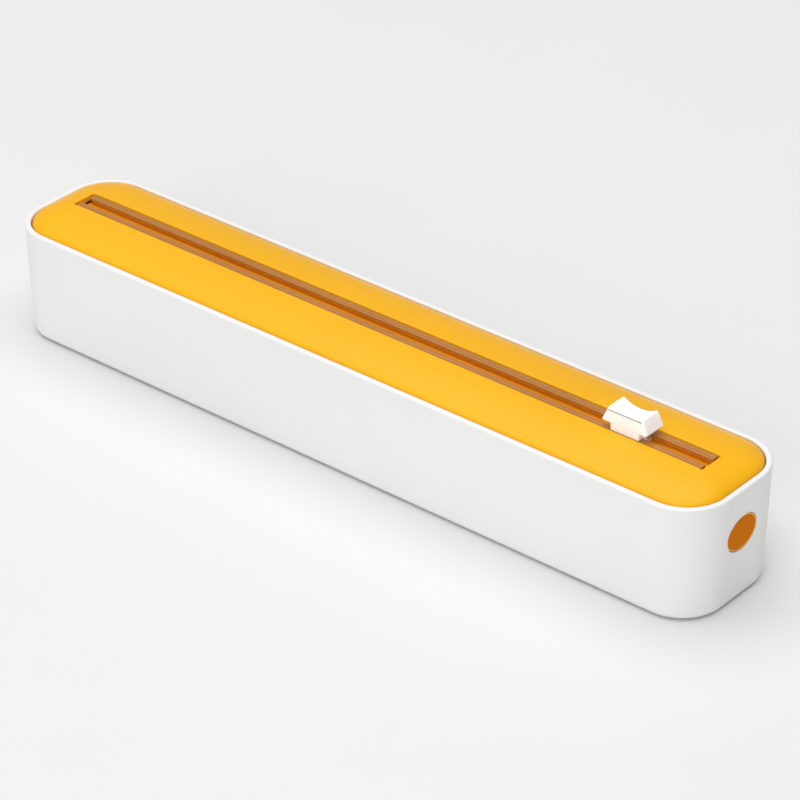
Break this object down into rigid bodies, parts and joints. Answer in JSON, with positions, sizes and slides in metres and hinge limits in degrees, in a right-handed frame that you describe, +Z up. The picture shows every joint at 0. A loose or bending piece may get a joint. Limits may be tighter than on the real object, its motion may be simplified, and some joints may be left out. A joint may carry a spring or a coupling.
{
  "type": "cling film dispenser",
  "caption": "Long round-cornered tub with a crowned lift-off lid, a slide cutter in its slot, a film roll on core plugs and sprung end buttons.",
  "frame": {"origin": "middle of the plane that the four feet stand on", "axes": "+X along the tub towards the end the slider stands at, +Y to the back, +Z up"},
  "size_m": [0.35, 0.061, 0.0637],
  "materials": {
    "white_plastic": "satin moulded white",
    "orange_plastic": "satin moulded orange-yellow",
    "clear_plastic": "smoky clear strip",
    "slider_plastic": "satin moulded white",
    "button_plastic": "satin moulded deep orange",
    "grey_plastic": "plain moulded grey",
    "film": "wound clear film",
    "paper_core": "wound paper board",
    "steel": "bright",
    "rubber": "matt"
  },
  "bodies": {
    "tub": {"tub": "white_plastic", "end_bracket_left": "white_plastic", "end_bracket_right": "white_plastic", "bracket_screws_left": "steel", "bracket_screws_right": "steel", "button_spring_left": "steel", "button_spring_right": "steel", "foot_front_left": "rubber", "foot_front_right": "rubber", "foot_back_left": "rubber", "foot_back_right": "rubber"},
    "lid": {"lid_shell": "orange_plastic", "cutter_track": "orange_plastic", "rail_front": "clear_plastic", "rail_back": "clear_plastic", "track_screws": "steel"},
    "slider": {"slider_grip": "slider_plastic", "slider_base": "slider_plastic", "slider_shoe": "slider_plastic", "cutter_blade_left": "steel", "cutter_blade_right": "steel", "slider_screws": "steel"},
    "roll": {"core_tube": "paper_core", "film_roll": "film", "roll_plug_left": "grey_plastic", "roll_plug_right": "grey_plastic"},
    "button_left": {"button_left": "button_plastic"},
    "button_right": {"button_right": "button_plastic"}
  },
  "joints": [
    {"name": "lid_lift", "type": "slide", "parent": "tub", "child": "lid", "axis": [0, 0, 1], "range_m": [0, 0.06]},
    {"name": "slider_run", "type": "slide", "parent": "lid", "child": "slider", "axis": [1, 0, 0], "range_m": [-0.2735, 0.027]},
    {"name": "roll_spin", "type": "hinge", "parent": "tub", "child": "roll", "pos_m": [0, 0, 0.0241], "axis": [1, 0, 0], "continuous": true},
    {"name": "button_left_press", "type": "slide", "parent": "tub", "child": "button_left", "axis": [1, 0, 0], "range_m": [0, 0.0015], "stiffness_N_per_m": 400, "springref_m": -0.001, "deforming": ["button_spring_left"]},
    {"name": "button_right_press", "type": "slide", "parent": "tub", "child": "button_right", "axis": [-1, 0, 0], "range_m": [0, 0.0015], "stiffness_N_per_m": 400, "springref_m": -0.001, "deforming": ["button_spring_right"]}
  ]
}
